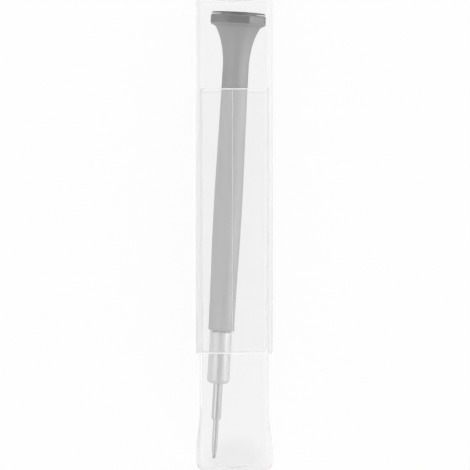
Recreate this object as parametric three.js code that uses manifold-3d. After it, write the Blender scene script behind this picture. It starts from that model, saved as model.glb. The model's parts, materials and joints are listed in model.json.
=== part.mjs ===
// A watch screwdriver lying in its clear two-part telescoping case.
// Millimetres, +Z up. The case lies on one flat side along Y, its closed sleeve end towards +Y.
// The origin is the centre of the footprint, on the surface that the case lies on.

import * as THREE from "three";
import { mergeVertices } from "three/addons/utils/BufferGeometryUtils.js";
import Module from "manifold-3d";

const wasm = await Module();
wasm.setup();

// Blade
const TIP_WIDTH = 0.8;
const TIP_THICKNESS = 0.2;
const TIP_GROUND_LENGTH = 2.2;
const TIP_TAPER_LENGTH = 2.1;
const TIP_LAND_LENGTH = 0.6;
const TIP_HOLLOW = 0.09;
const ROD_DIAMETER = 1.45;
const ROD_LENGTH = 7.0;
const SHANK_DIAMETER = 2.4;
const SHANK_CHAMFER = 0.4;
const SHANK_REACH = 9.3;
const SHANK_SEAT = 22;
const BLADE_TRAVEL = 8;

// Chuck: a nut that closes a slotted collet on the blade's shank
const NUT_DIAMETER = 5.6;
const NUT_LENGTH = 13.3;
const NUT_CHAMFER = 0.7;
const NUT_FLOOR = 1.2;
const NUT_TOP_EDGE = 0.25;
const NUT_EXIT_GAP = 0.15;
const SPIGOT_DIAMETER = 4.4;
const SPIGOT_LENGTH = 6.5;
const COLLET_STEM_DIAMETER = 3.3;
const COLLET_STEM_LENGTH = 5.5;
const COLLET_SLOT_REACH = 2.75;
const COLLET_SHOULDER_DIAMETER = 4.2;
const COLLET_SHOULDER_LENGTH = 0.9;
const COLLET_NOSE_DIAMETER = 3.0;
const COLLET_SLOT_WIDTH = 0.3;
const COLLET_SLOT_COUNT = 4;

// Handle: a turned grip that swells in the middle and flares to an eight-sided head
const HANDLE_LENGTH = 79;
const GRIP_END_DIAMETER = 6.5;
const GRIP_END_CHAMFER = 0.4;
const GRIP_BELLY_DIAMETER = 7.15;
const GRIP_BELLY_HEIGHT = 30;
const GRIP_WAIST_DIAMETER = 6.55;
const BELL_LENGTH = 10.05;
const BELL_SEMI_AXIS = 12.3;
const HEAD_SIDES = 8;
const HEAD_ACROSS_FLATS = 13.8;
const HEAD_FLAT_HEIGHT = 1.85;
const HEAD_UNDERCUT = 1.25;
const HEAD_UNDERCUT_HEIGHT = 0.75;
const HEAD_TOP_CHAMFER = 0.35;

// Swivel cap on a shielded ball bearing in the head
const CAP_DIAMETER = 13.4;
const CAP_THICKNESS = 0.4;
const CAP_LIFT = 0.2;
const CAP_EDGE_RADIUS = 0.1;
const CAP_SKIRT_WALL = 0.7;
const INSERT_DIAMETER = 10;
const INSERT_THICKNESS = 0.18;
const INSERT_DISH = 0.08;
const BEARING_BORE = 3;
const BEARING_DIAMETER = 7;
const BEARING_WIDTH = 2;
const BEARING_LAND = 0.55;
const SHIELD_THICKNESS = 0.12;
const BALL_DIAMETER = 1;
const BALL_COUNT = 7;
const CAGE_THICKNESS = 0.4;
const CAGE_HEIGHT = 1.44;
const PIVOT_SCREW_HEAD_DIAMETER = 4;
const PIVOT_SCREW_HEAD_HEIGHT = 0.5;
const PIVOT_SCREW_DIAMETER = 1.6;
const PIVOT_SCREW_LENGTH = 4.5;
const SCREW_SLOT_WIDTH = 0.4;
const SCREW_SLOT_DEPTH = 0.25;

// Case: a square sleeve that slides over a square base tube with a flared foot
const CASE_WIDTH = 19;
const CASE_CORNER_RADIUS = 2;
const CASE_CORNER_LEAST = 0.4;
const SLEEVE_LENGTH = 88.4;
const SLEEVE_WALL = 0.6;
const SLEEVE_END_WALL = 0.7;
const SLEEVE_END_RADIUS = 1.4;
const BASE_LENGTH = 94.6;
const BASE_WALL = 0.6;
const BASE_END_WALL = 0.6;
const FOOT_CORNER_RADIUS = 2.4;
const FOOT_HEIGHT = 4.6;
const FOOT_FLARE_LENGTH = 10;
const END_DISH_DEPTH = 0.8;
const END_DISH_RIM = 2;

// Clearances
const CASE_SLIDE_GAP = 0.3;
const CASE_REST_GAP = 0.3;
const CASE_LEAN_GAP = 1.1;
const TIP_GAP = 0.7;
const HEAD_GAP = 2;
const NUT_FACE_GAP = 0.25;
const THREAD_GAP = 0.1;
const SLIDING_GAP = 0.08;
const SEAT_GAP = 0.03;
const RUNNING_GAP = 0.3;
const BALL_GAP = 0.03;

// Facets
const TURNED_SIDES = 40;
const SMALL_SIDES = 32;
const CORNER_STEPS = 5;
const CURVE_STEPS = 8;
const DISH_STEPS = 4;

// Finishes, each giving a mesh a material of its own
const finish = (color, roughness, metalness, extra = {}) =>
  new THREE.MeshStandardMaterial({ color, roughness, metalness, ...extra });
const greyAnodised = () => finish(0x77797b, 0.45, 0.75);
const darkCap = () => finish(0x3f4143, 0.4, 0.6);
const polishedSteel = () => finish(0xb9bbbc, 0.22, 1);
const toolSteel = () => finish(0x9a9b9c, 0.3, 1);
const bearingSteel = () => finish(0xc4c6c8, 0.15, 1);
const brassCage = () => finish(0xb59a5a, 0.35, 1);
const clearPlastic = () => finish(0xf1f2f2, 0.2, 0, { transparent: true, opacity: 0.35 });

// Solid modelling helpers

// A closed geometry as a solid that can be joined and cut.
function solidOf(geometry) {
  const bare = new THREE.BufferGeometry();
  bare.setAttribute("position", geometry.getAttribute("position").clone());
  bare.setIndex(geometry.index);
  const merged = mergeVertices(bare, 1e-4);
  const corners = merged.index.array;
  const kept = [];
  for (let i = 0; i < corners.length; i += 3) {
    const [a, b, c] = corners.subarray(i, i + 3);
    if (a !== b && b !== c && c !== a) kept.push(a, b, c);
  }
  return new wasm.Manifold(
    new wasm.Mesh({
      numProp: 3,
      vertProperties: merged.getAttribute("position").array,
      triVerts: new Uint32Array(kept),
    }),
  );
}

// A solid as a geometry with flat-shaded faces.
function geometryOf(solid) {
  const { numProp, vertProperties, triVerts } = solid.getMesh();
  const geometry = new THREE.BufferGeometry();
  const places = new THREE.InterleavedBuffer(vertProperties, numProp);
  geometry.setAttribute("position", new THREE.InterleavedBufferAttribute(places, 3, 0));
  geometry.setIndex(new THREE.BufferAttribute(triVerts, 1));
  const flat = geometry.toNonIndexed();
  flat.computeVertexNormals();
  return flat;
}

// A profile of [radius, height] pairs, turned about Y. It starts and ends on the axis, or it is a ring's
// section that returns to its first point.
function turned(profile, sides = SMALL_SIDES) {
  return new THREE.LatheGeometry(profile.map(([r, y]) => new THREE.Vector2(r, y)), sides);
}

// A ring's section from its inner and outer radius and its lower and upper height.
function ringSection(inner, outer, low, high) {
  return [[inner, low], [outer, low], [outer, high], [inner, high], [inner, low]];
}

// The section of a quarter-round edge, from straight up the side to straight across the top.
function roundedEdge(radius, height, edge, steps = 3) {
  return Array.from({ length: steps + 1 }, (_, i) => {
    const angle = (i / steps) * (Math.PI / 2);
    return [radius - edge + edge * Math.cos(angle), height - edge + edge * Math.sin(angle)];
  });
}

function node(name, geometry, material) {
  const mesh = new THREE.Mesh(geometry, material);
  mesh.name = name;
  return mesh;
}

// Heights along the tool, from the end of the blade's tip at 0
const shankFoot = TIP_TAPER_LENGTH + TIP_LAND_LENGTH + ROD_LENGTH;
const nutFoot = shankFoot + SHANK_REACH;
const nutTop = nutFoot + NUT_LENGTH;
const handleFoot = nutTop + NUT_FACE_GAP;
const spigotFoot = handleFoot - SPIGOT_LENGTH;
const shankTop = nutFoot + SHANK_SEAT;
const handleTop = handleFoot + HANDLE_LENGTH;
const capFoot = handleTop + CAP_LIFT;
const toolLength = capFoot + CAP_THICKNESS;

// Bearing stack below the cap
const bearingTop = capFoot - PIVOT_SCREW_HEAD_HEIGHT - SEAT_GAP;
const bearingFoot = bearingTop - BEARING_WIDTH;
const bearingMiddle = (bearingTop + bearingFoot) / 2;
const pitchRadius = (BEARING_BORE + BEARING_DIAMETER) / 4;
const innerLandRadius = BEARING_BORE / 2 + BEARING_LAND;
const outerLandRadius = BEARING_DIAMETER / 2 - BEARING_LAND;
const skirtRadius = BEARING_DIAMETER / 2 + SEAT_GAP + CAP_SKIRT_WALL;
const recessRadius = skirtRadius + RUNNING_GAP;
const recessFloor = bearingFoot - RUNNING_GAP;

// Handle profile radii
const waistRadius = GRIP_WAIST_DIAMETER / 2;
const headCorner = 1 / Math.cos(Math.PI / HEAD_SIDES);
const headRadius = (HEAD_ACROSS_FLATS / 2) * headCorner;
const headFlatFoot = handleTop - HEAD_TOP_CHAMFER - HEAD_FLAT_HEIGHT;
const undercutRadius = HEAD_ACROSS_FLATS / 2 - HEAD_UNDERCUT;
const undercutFoot = headFlatFoot - HEAD_UNDERCUT_HEIGHT;

function gripCurve() {
  const top = undercutFoot - BELL_LENGTH;
  const foot = handleFoot + GRIP_END_CHAMFER;
  const curve = new THREE.SplineCurve([
    new THREE.Vector2(GRIP_END_DIAMETER / 2, foot),
    new THREE.Vector2(GRIP_BELLY_DIAMETER / 2, handleFoot + GRIP_BELLY_HEIGHT),
    new THREE.Vector2(waistRadius, top),
  ]);
  return curve.getPoints(CURVE_STEPS).map((p) => [p.x, p.y]);
}

// The trumpet flare is a stretch of an ellipse that leaves the waist straight up.
function bellCurve() {
  const share = BELL_LENGTH / BELL_SEMI_AXIS;
  const radial = (undercutRadius - waistRadius) / (1 - Math.sqrt(1 - share * share));
  const points = [];
  for (let i = 1; i <= CURVE_STEPS; i += 1) {
    const u = (share * i) / CURVE_STEPS;
    points.push([
      waistRadius + radial * (1 - Math.sqrt(1 - u * u)),
      undercutFoot - BELL_LENGTH + u * BELL_SEMI_AXIS,
    ]);
  }
  return points;
}

// The handle is turned. Its head is then milled to eight flats, chamfered above and undercut below.
function handle() {
  const chuckHole = COLLET_STEM_DIAMETER / 2 + SLIDING_GAP;
  const colletTop = spigotFoot - THREAD_GAP + COLLET_STEM_LENGTH;
  const bladeHole = SHANK_DIAMETER / 2 + RUNNING_GAP;
  const bladeHoleTop = shankTop + BLADE_TRAVEL + RUNNING_GAP;
  const post = BEARING_BORE / 2 - SEAT_GAP;
  const postTop = bearingTop - THREAD_GAP;
  const screwHole = PIVOT_SCREW_DIAMETER / 2 + SLIDING_GAP;
  const screwHoleFoot = bearingTop - PIVOT_SCREW_LENGTH - RUNNING_GAP;
  const body = solidOf(
    turned(
      [
        [0, bladeHoleTop],
        [bladeHole, bladeHoleTop],
        [bladeHole, colletTop + RUNNING_GAP],
        [chuckHole, colletTop + RUNNING_GAP],
        [chuckHole, spigotFoot],
        [SPIGOT_DIAMETER / 2, spigotFoot],
        [SPIGOT_DIAMETER / 2, handleFoot],
        [GRIP_END_DIAMETER / 2 - GRIP_END_CHAMFER, handleFoot],
        ...gripCurve(),
        ...bellCurve(),
        [headRadius, undercutFoot],
        [headRadius, handleTop],
        [recessRadius, handleTop],
        [recessRadius, recessFloor],
        [innerLandRadius, recessFloor],
        [innerLandRadius, bearingFoot - SEAT_GAP],
        [post, bearingFoot - SEAT_GAP],
        [post, postTop],
        [screwHole, postTop],
        [screwHole, screwHoleFoot],
        [0, screwHoleFoot],
      ],
      TURNED_SIDES,
    ),
  );
  const milled = turned(
    [
      [0, 0],
      [(undercutRadius + SEAT_GAP) * headCorner, 0],
      [(undercutRadius + SEAT_GAP) * headCorner, undercutFoot],
      [headRadius, headFlatFoot],
      [headRadius, handleTop - HEAD_TOP_CHAMFER],
      [headRadius - HEAD_TOP_CHAMFER * headCorner, handleTop],
      [0, handleTop],
    ],
    HEAD_SIDES,
  );
  milled.rotateY(Math.PI / HEAD_SIDES);
  return node("handle", geometryOf(body.intersect(solidOf(milled))), greyAnodised());
}

function swivelCap() {
  const pocket = INSERT_DIAMETER / 2 + SEAT_GAP;
  const pocketFloor = toolLength - INSERT_THICKNESS - SEAT_GAP;
  const screwWay = PIVOT_SCREW_HEAD_DIAMETER / 2 + RUNNING_GAP;
  const raceSeat = BEARING_DIAMETER / 2 + SEAT_GAP;
  const skirtFoot = bearingFoot + THREAD_GAP;
  const profile = [
    [screwWay, pocketFloor],
    [screwWay, capFoot],
    [outerLandRadius, capFoot],
    [outerLandRadius, bearingTop + SEAT_GAP],
    [raceSeat, bearingTop + SEAT_GAP],
    [raceSeat, skirtFoot],
    [skirtRadius, skirtFoot],
    [skirtRadius, capFoot],
    [CAP_DIAMETER / 2, capFoot],
    ...roundedEdge(CAP_DIAMETER / 2, toolLength, CAP_EDGE_RADIUS),
    [pocket, toolLength],
    [pocket, pocketFloor],
    [screwWay, pocketFloor],
  ];
  return node("swivel_cap", turned(profile, TURNED_SIDES), darkCap());
}

// The insert's top is dished for a fingertip, as a shallow parabola.
function capInsert() {
  const radius = INSERT_DIAMETER / 2;
  const dish = Array.from({ length: CURVE_STEPS + 1 }, (_, i) => {
    const r = radius * (1 - i / CURVE_STEPS);
    return [r, toolLength - INSERT_DISH * (1 - (r / radius) ** 2)];
  });
  const profile = [[0, toolLength - INSERT_THICKNESS], [radius, toolLength - INSERT_THICKNESS], ...dish];
  return node("cap_insert", turned(profile, TURNED_SIDES), greyAnodised());
}

// Half of a ball groove's section, swept between the two lands of a race.
function grooveArc(side, steps = 6) {
  const radius = BALL_DIAMETER / 2 + BALL_GAP;
  const land = side > 0 ? outerLandRadius : innerLandRadius;
  const reach = Math.acos((Math.abs(land - pitchRadius)) / radius);
  return Array.from({ length: steps + 1 }, (_, i) => {
    const angle = -reach + (2 * reach * i) / steps;
    return [pitchRadius + side * radius * Math.cos(angle), bearingMiddle + radius * Math.sin(angle)];
  });
}

function bearingRaces() {
  const bore = BEARING_BORE / 2;
  const rim = BEARING_DIAMETER / 2;
  const inner = [
    [bore, bearingFoot],
    [innerLandRadius, bearingFoot],
    ...grooveArc(-1),
    [innerLandRadius, bearingTop],
    [bore, bearingTop],
    [bore, bearingFoot],
  ];
  const outer = [
    [outerLandRadius, bearingFoot],
    [rim, bearingFoot],
    [rim, bearingTop],
    [outerLandRadius, bearingTop],
    ...grooveArc(1).reverse(),
    [outerLandRadius, bearingFoot],
  ];
  return [
    node("bearing_inner_race", turned(inner), bearingSteel()),
    node("bearing_outer_race", turned(outer), bearingSteel()),
  ];
}

// Thin washers that close the gap between the lands. They sit in the outer race and clear the inner one.
function bearingShields() {
  const section = (low) =>
    ringSection(innerLandRadius + SLIDING_GAP, outerLandRadius - SEAT_GAP, low, low + SHIELD_THICKNESS);
  return [
    node("bearing_shield_upper", turned(section(bearingTop - SHIELD_THICKNESS)), polishedSteel()),
    node("bearing_shield_lower", turned(section(bearingFoot)), polishedSteel()),
  ];
}

// The balls and the ring whose pockets space them.
function ballsAndCage() {
  const low = bearingMiddle - CAGE_HEIGHT / 2;
  const ring = ringSection(
    pitchRadius - CAGE_THICKNESS / 2,
    pitchRadius + CAGE_THICKNESS / 2,
    low,
    low + CAGE_HEIGHT,
  );
  let cage = solidOf(turned(ring));
  const balls = [];
  for (let i = 0; i < BALL_COUNT; i += 1) {
    const angle = (2 * Math.PI * i) / BALL_COUNT;
    const place = new THREE.Vector3(0, bearingMiddle, pitchRadius);
    place.applyAxisAngle(new THREE.Vector3(0, 1, 0), angle);
    const pocket = new THREE.SphereGeometry(BALL_DIAMETER / 2 + SLIDING_GAP, 12, 8);
    cage = cage.subtract(solidOf(pocket.translate(place.x, place.y, place.z)));
    const ball = node(
      `bearing_ball_${i + 1}`,
      new THREE.SphereGeometry(BALL_DIAMETER / 2, 14, 10),
      bearingSteel(),
    );
    ball.position.copy(place);
    balls.push(ball);
  }
  return [node("ball_cage", geometryOf(cage), brassCage()), ...balls];
}

function pivotScrew() {
  const headFoot = bearingTop + SEAT_GAP;
  const headTop = headFoot + PIVOT_SCREW_HEAD_HEIGHT;
  const profile = [
    [0, bearingTop - PIVOT_SCREW_LENGTH],
    [PIVOT_SCREW_DIAMETER / 2, bearingTop - PIVOT_SCREW_LENGTH],
    [PIVOT_SCREW_DIAMETER / 2, headFoot],
    [PIVOT_SCREW_HEAD_DIAMETER / 2, headFoot],
    [PIVOT_SCREW_HEAD_DIAMETER / 2, headTop],
    [0, headTop],
  ];
  const slot = new THREE.BoxGeometry(PIVOT_SCREW_HEAD_DIAMETER * 2, SCREW_SLOT_DEPTH * 2, SCREW_SLOT_WIDTH);
  slot.translate(0, headTop, 0);
  const screw = solidOf(turned(profile)).subtract(solidOf(slot));
  return node("pivot_screw", geometryOf(screw), polishedSteel());
}

// Heights of the collet's cone, which the nut's inner cone follows
const coneTop = spigotFoot - THREAD_GAP - COLLET_SHOULDER_LENGTH;
const coneFoot = nutFoot + NUT_FLOOR + THREAD_GAP;

function chuckNut() {
  const thread = SPIGOT_DIAMETER / 2 + THREAD_GAP;
  const exit = SHANK_DIAMETER / 2 + NUT_EXIT_GAP;
  const rim = NUT_DIAMETER / 2;
  const profile = [
    [exit, nutFoot],
    [rim - NUT_CHAMFER, nutFoot],
    [rim, nutFoot + NUT_CHAMFER],
    ...roundedEdge(rim, nutTop, NUT_TOP_EDGE),
    [thread, nutTop],
    [thread, coneTop],
    [COLLET_SHOULDER_DIAMETER / 2 + THREAD_GAP, coneTop],
    [COLLET_NOSE_DIAMETER / 2 + THREAD_GAP, coneFoot],
    [COLLET_NOSE_DIAMETER / 2 + THREAD_GAP, nutFoot + NUT_FLOOR],
    [exit, nutFoot + NUT_FLOOR],
    [exit, nutFoot],
  ];
  return node("chuck_nut", turned(profile, TURNED_SIDES), polishedSteel());
}

function collet() {
  const bore = SHANK_DIAMETER / 2 + SLIDING_GAP;
  const stem = COLLET_STEM_DIAMETER / 2;
  const shoulder = COLLET_SHOULDER_DIAMETER / 2;
  const shoulderTop = coneTop + COLLET_SHOULDER_LENGTH;
  const top = shoulderTop + COLLET_STEM_LENGTH;
  const profile = [
    [bore, coneFoot],
    [COLLET_NOSE_DIAMETER / 2, coneFoot],
    [shoulder, coneTop],
    [shoulder, shoulderTop],
    [stem, shoulderTop],
    [stem, top],
    [bore, top],
    [bore, coneFoot],
  ];
  let body = solidOf(turned(profile));
  const slotTop = shoulderTop + COLLET_SLOT_REACH;
  for (let i = 0; i < COLLET_SLOT_COUNT; i += 1) {
    const slot = new THREE.BoxGeometry(COLLET_SHOULDER_DIAMETER, slotTop, COLLET_SLOT_WIDTH);
    slot.translate(COLLET_SHOULDER_DIAMETER / 2, slotTop / 2, 0);
    slot.rotateY((2 * Math.PI * (i + 0.5)) / COLLET_SLOT_COUNT);
    body = body.subtract(solidOf(slot));
  }
  return node("collet", geometryOf(body), toolSteel());
}

// The blade is turned in steps and then ground flat on two sides, up and down as it lies.
function blade() {
  const rod = ROD_DIAMETER / 2;
  const shank = SHANK_DIAMETER / 2;
  const rodFoot = TIP_TAPER_LENGTH + TIP_LAND_LENGTH;
  const profile = [
    [0, 0],
    [TIP_WIDTH / 2, 0],
    [TIP_WIDTH / 2, TIP_LAND_LENGTH],
    [rod, rodFoot],
    [rod, shankFoot],
    [shank - SHANK_CHAMFER, shankFoot],
    [shank, shankFoot + SHANK_CHAMFER],
    [shank, shankTop - SHANK_CHAMFER],
    [shank - SHANK_CHAMFER, shankTop],
    [0, shankTop],
  ];
  let body = solidOf(turned(profile));
  const wedge = new THREE.Shape();
  wedge.moveTo(TIP_THICKNESS / 2, -ROD_DIAMETER);
  wedge.lineTo(TIP_THICKNESS / 2, 0);
  wedge.quadraticCurveTo(
    TIP_THICKNESS / 2 + TIP_HOLLOW,
    TIP_GROUND_LENGTH / 2,
    rod + SLIDING_GAP,
    TIP_GROUND_LENGTH,
  );
  wedge.lineTo(ROD_DIAMETER * 2, TIP_GROUND_LENGTH);
  wedge.lineTo(ROD_DIAMETER * 2, -ROD_DIAMETER);
  wedge.closePath();
  const width = ROD_DIAMETER * 2;
  for (const side of [1, -1]) {
    const ground = new THREE.ExtrudeGeometry(wedge, { depth: width, bevelEnabled: false, curveSegments: 4 });
    ground.translate(0, 0, -width / 2).rotateY((side * Math.PI) / 2);
    body = body.subtract(solidOf(ground));
  }
  return node("blade", geometryOf(body), toolSteel());
}

// Case

const sleeveHalf = CASE_WIDTH / 2;
const sleeveInnerHalf = sleeveHalf - SLEEVE_WALL;
const baseHalf = sleeveInnerHalf - CASE_SLIDE_GAP;
const baseInnerHalf = baseHalf - BASE_WALL;
const baseFloor = BASE_END_WALL + END_DISH_DEPTH;

// A square with rounded corners round Y at a height, as a ring of points. Squares within each other have
// concentric corners.
function squareRing(half, height) {
  const radius = Math.min(Math.max(CASE_CORNER_RADIUS + half - sleeveHalf, CASE_CORNER_LEAST), half);
  const ring = [];
  for (let quarter = 0; quarter < 4; quarter += 1) {
    for (let step = 0; step <= CORNER_STEPS; step += 1) {
      const angle = (quarter + step / CORNER_STEPS) * (Math.PI / 2);
      const cornerX = (half - radius) * Math.sign(Math.cos((quarter + 0.5) * (Math.PI / 2)));
      const cornerZ = (half - radius) * Math.sign(Math.sin((quarter + 0.5) * (Math.PI / 2)));
      ring.push([cornerX + radius * Math.cos(angle), height, cornerZ + radius * Math.sin(angle)]);
    }
  }
  return ring;
}

// A skin through rings of equal count, closed by a fan at the first and the last ring.
function loft(rings) {
  const count = rings[0].length;
  const places = rings.flat(2);
  const faces = [];
  for (let r = 0; r + 1 < rings.length; r += 1) {
    for (let i = 0; i < count; i += 1) {
      const a = r * count + i;
      const b = r * count + ((i + 1) % count);
      faces.push(a, a + count, b, b, a + count, b + count);
    }
  }
  for (const [ring, turn] of [[0, false], [rings.length - 1, true]]) {
    const hub = places.length / 3;
    places.push(0, rings[ring][0][1], 0);
    for (let i = 0; i < count; i += 1) {
      const a = ring * count + i;
      const b = ring * count + ((i + 1) % count);
      faces.push(hub, turn ? b : a, turn ? a : b);
    }
  }
  const geometry = new THREE.BufferGeometry();
  geometry.setAttribute("position", new THREE.Float32BufferAttribute(places, 3));
  geometry.setIndex(faces);
  return geometryOf(solidOf(geometry));
}

// The rounded turn from an end face up to a side wall, as [half width, height] pairs.
function endTurn(half, radius, steps = 4) {
  return Array.from({ length: steps + 1 }, (_, i) => {
    const angle = (i / steps) * (Math.PI / 2);
    return [half - radius + radius * Math.sin(angle), radius - radius * Math.cos(angle)];
  });
}

// The foot's flare as [half width, height] pairs, easing from the foot to the straight tube.
function flare(footHalf, tubeHalf, steps = 6) {
  return Array.from({ length: steps + 1 }, (_, i) => {
    const share = i / steps;
    const ease = share * share * (3 - 2 * share);
    return [footHalf + (tubeHalf - footHalf) * ease, FOOT_HEIGHT + FOOT_FLARE_LENGTH * share];
  });
}

// A dished end face as [half width, height] pairs, a shallow parabola from near its middle out to its rim.
function endDish(half) {
  const rim = half - END_DISH_RIM;
  return Array.from({ length: DISH_STEPS }, (_, i) => {
    const share = (i + 1) / DISH_STEPS;
    return [rim * share, END_DISH_DEPTH * (1 - share * share)];
  });
}

function caseBase() {
  const rounded = ([half, height]) => squareRing(half, height);
  const footHalf = sleeveHalf;
  const footInnerHalf = footHalf - BASE_WALL;
  const innerRadius = FOOT_CORNER_RADIUS - BASE_WALL;
  const outside = [
    ...endDish(footHalf - FOOT_CORNER_RADIUS),
    ...endTurn(footHalf, FOOT_CORNER_RADIUS),
    ...flare(footHalf, baseHalf),
    [baseHalf, BASE_LENGTH],
  ];
  const insideFloor = endTurn(footInnerHalf, innerRadius).map(([half, rise]) => [half, baseFloor + rise]);
  const inside = [...insideFloor, ...flare(footInnerHalf, baseInnerHalf), [baseInnerHalf, BASE_LENGTH]];
  return node("case_base", loft([...outside, ...inside.reverse()].map(rounded)), clearPlastic());
}

function caseSleeve() {
  const rounded = ([half, height]) => squareRing(half, height);
  const floor = SLEEVE_END_WALL + END_DISH_DEPTH;
  const outside = [
    ...endDish(sleeveHalf - SLEEVE_END_RADIUS),
    ...endTurn(sleeveHalf, SLEEVE_END_RADIUS),
    [sleeveHalf, SLEEVE_LENGTH],
  ];
  const inside = [
    [sleeveInnerHalf - SLEEVE_END_RADIUS / 2, floor],
    [sleeveInnerHalf, floor + SLEEVE_END_RADIUS / 2],
    [sleeveInnerHalf, SLEEVE_LENGTH],
  ];
  const sleeve = node("case_sleeve", loft([...outside, ...inside.reverse()].map(rounded)), clearPlastic());
  sleeve.rotation.z = Math.PI;
  return sleeve;
}

// How the tool lies in the case: its head's flat on the sleeve's floor and its nut on the base's floor,
// leaning across from the sleeve's wall at the head to the base's opposite wall at the nut.
const headSeat = headFlatFoot;
const nutSeat = nutFoot + NUT_CHAMFER;
const seatSpan = headSeat - nutSeat;
const headHalf = HEAD_ACROSS_FLATS / 2;
const nutHalf = NUT_DIAMETER / 2;
const floorStep = sleeveInnerHalf - baseInnerHalf;
const pitch =
  Math.atan2(headHalf - nutHalf, seatSpan) - Math.asin(floorStep / Math.hypot(seatSpan, headHalf - nutHalf));
const headAside = sleeveInnerHalf - CASE_LEAN_GAP - headHalf;
const nutAside = baseInnerHalf - CASE_LEAN_GAP - nutHalf;
const yaw = Math.asin((headAside + nutAside) / (seatSpan * Math.cos(pitch)));
const along = new THREE.Vector3(
  Math.sin(yaw) * Math.cos(pitch),
  Math.cos(yaw) * Math.cos(pitch),
  Math.sin(pitch),
);
const nutFloor = sleeveHalf - baseInnerHalf + CASE_REST_GAP;
const toolTip = new THREE.Vector3(
  -nutAside - nutSeat * along.x,
  baseFloor + TIP_GAP,
  nutFloor + nutHalf * Math.cos(pitch) - nutSeat * along.z,
);
const caseLength =
  toolTip.y + toolLength * along.y + HEAD_GAP + SLEEVE_END_WALL + END_DISH_DEPTH;

const tool = new THREE.Group();
tool.add(
  handle(),
  swivelCap(),
  capInsert(),
  ...bearingRaces(),
  ...bearingShields(),
  ...ballsAndCage(),
  pivotScrew(),
  chuckNut(),
  collet(),
  blade(),
);
tool.rotation.set(pitch, 0, -yaw, "ZXY");
tool.position.copy(toolTip);

const base = caseBase();
base.position.z = sleeveHalf;

const sleeve = caseSleeve();
sleeve.position.set(0, caseLength, sleeveHalf);

const contents = new THREE.Group();
contents.add(tool, base, sleeve);
contents.position.y = -caseLength / 2;

const watchScrewdriver = new THREE.Group();
watchScrewdriver.add(contents);

export default watchScrewdriver;
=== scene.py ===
"""Looks of a watch screwdriver that lies in a clear two-part case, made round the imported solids.

Lengths are in millimetres and are turned into metres where a mesh is made. The tool is shaped in its own
frame: Y along its axis from the tip of the blade, Z up as it lies. The case is shaped round its own Y axis.
"""

import json
import math

import bmesh
import bpy
from mathutils import Matrix, Vector

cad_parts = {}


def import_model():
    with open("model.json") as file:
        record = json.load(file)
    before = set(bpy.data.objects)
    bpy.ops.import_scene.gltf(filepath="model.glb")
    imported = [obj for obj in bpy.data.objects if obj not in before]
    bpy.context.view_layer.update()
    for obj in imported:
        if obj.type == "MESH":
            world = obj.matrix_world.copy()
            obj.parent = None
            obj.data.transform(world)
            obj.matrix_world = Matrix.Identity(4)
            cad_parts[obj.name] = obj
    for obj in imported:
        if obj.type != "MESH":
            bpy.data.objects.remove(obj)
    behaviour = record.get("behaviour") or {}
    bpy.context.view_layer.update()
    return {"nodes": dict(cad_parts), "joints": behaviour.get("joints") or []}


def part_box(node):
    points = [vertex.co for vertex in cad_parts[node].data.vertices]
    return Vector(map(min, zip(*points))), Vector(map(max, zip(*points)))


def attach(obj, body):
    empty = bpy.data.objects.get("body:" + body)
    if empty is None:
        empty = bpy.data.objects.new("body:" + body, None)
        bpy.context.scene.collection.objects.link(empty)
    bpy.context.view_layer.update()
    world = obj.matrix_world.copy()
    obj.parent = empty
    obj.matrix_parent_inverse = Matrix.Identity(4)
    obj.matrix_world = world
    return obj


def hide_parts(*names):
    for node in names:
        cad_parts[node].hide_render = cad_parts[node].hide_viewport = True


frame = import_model()

MM = 0.001

# Photograph: how much of the object one pixel shows, and the middle of the picture on the object
FRAME_PIXELS = 470
MM_PER_PIXEL = 0.25
PICTURE_CENTRE = (0.125, -0.375)
LENS = 200
SENSOR = 36
CLIP_NEAR_M = 0.01
CLIP_FAR_M = 20

# Handle
GRIP_END_RADIUS = 3.25
GRIP_END_CHAMFER = 0.4
GRIP_BELLY_RADIUS = 3.575
GRIP_BELLY_HEIGHT = 30
GRIP_WAIST_RADIUS = 3.275
BELL_LENGTH = 10.05
BELL_SEMI_AXIS = 12.3
HEAD_SIDES = 8
HEAD_HALF = 6.9
HEAD_FLAT_HEIGHT = 1.85
HEAD_UNDERCUT = 1.25
HEAD_UNDERCUT_HEIGHT = 0.75
HEAD_TOP_CHAMFER = 0.35
HEAD_CORNER_EASE = 0.05
SPIGOT_RADIUS = 2.2
SPIGOT_LENGTH = 6.5
CHUCK_HOLE_RADIUS = 1.73
BLADE_HOLE_RADIUS = 1.5
BLADE_TRAVEL = 8
RECESS_RADIUS = 4.53
POST_RADIUS = 1.47
POST_SHORT_BY = 0.1
SCREW_HOLE_RADIUS = 0.88
HOLE_GAP = 0.3

# Swivel cap
CAP_RADIUS = 6.7
CAP_THICKNESS = 0.4
CAP_EDGE = 0.1
CAP_SKIRT_RADIUS = 4.23
CAP_RACE_SEAT = 3.53
CAP_SCREW_WAY = 2.3
INSERT_RADIUS = 5.0
INSERT_THICKNESS = 0.18
INSERT_DISH = 0.08
SEAT_GAP = 0.03

# Chuck nut
NUT_RADIUS = 2.8
NUT_CHAMFER = 0.7
NUT_EXIT_RADIUS = 1.35
NUT_FLOOR = 1.2
NUT_THREAD_RADIUS = 2.3
NUT_CONE_RADII = (1.6, 2.2)
NUT_CONE_BELOW_SPIGOT = 1
NUT_EDGE_EASE = 0.14

# Blade
SHANK_RADIUS = 1.2
SHANK_CHAMFER = 0.4
ROD_RADIUS = 0.725
ROD_LENGTH = 7.0
TIP_RADIUS = 0.4
TIP_TAPER = 2.1
TIP_LAND = 0.6
TIP_HALF_THICKNESS = 0.1
TIP_GROUND_LENGTH = 2.2
TIP_HOLLOW = 0.09
TIP_GRIND_RUN_OUT = 0.08
TIP_ROWS = 8
TIP_ROWS_FROM = 0.3
BLADE_EDGE_EASE = 0.05

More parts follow.
